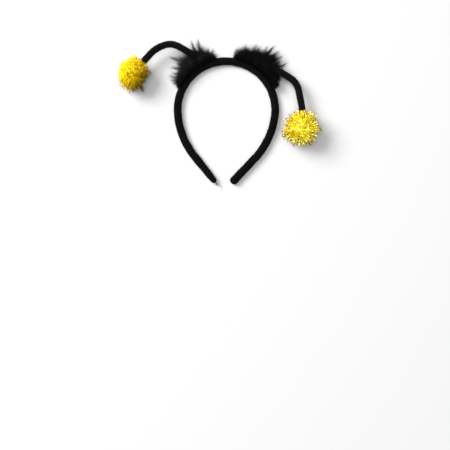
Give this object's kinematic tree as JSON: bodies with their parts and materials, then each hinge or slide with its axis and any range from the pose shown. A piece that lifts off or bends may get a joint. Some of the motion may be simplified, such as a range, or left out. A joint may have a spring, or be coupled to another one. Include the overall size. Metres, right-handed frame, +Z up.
{
  "type": "bee headband",
  "caption": "Padded black costume headband with bent velour feelers, black feather fur at the foot of each feeler and a yellow tinsel pompom on each end.",
  "frame": {"origin": "on the table under the middle of the bounding box, with the headband lying on its side", "axes": "+X across the hoop from the left feeler to the right one, +Y up the hoop's line of symmetry from its tips to its top, +Z up from the table"},
  "size_m": [0.2548, 0.1802, 0.0458],
  "materials": {
    "black_velour": "short velour nap, matt with a soft sheen",
    "black_sleeve": "short chenille pile, matt",
    "black_fur": "fine feather fur, soft and dull",
    "yellow_tinsel": "metallised film strips, bright"
  },
  "bodies": {
    "root": {"band": "black_velour", "stem_left": "black_sleeve", "stem_right": "black_sleeve", "tuft_left": "black_fur", "tuft_right": "black_fur", "pompom_left": "yellow_tinsel", "pompom_right": "yellow_tinsel"}
  },
  "joints": []
}
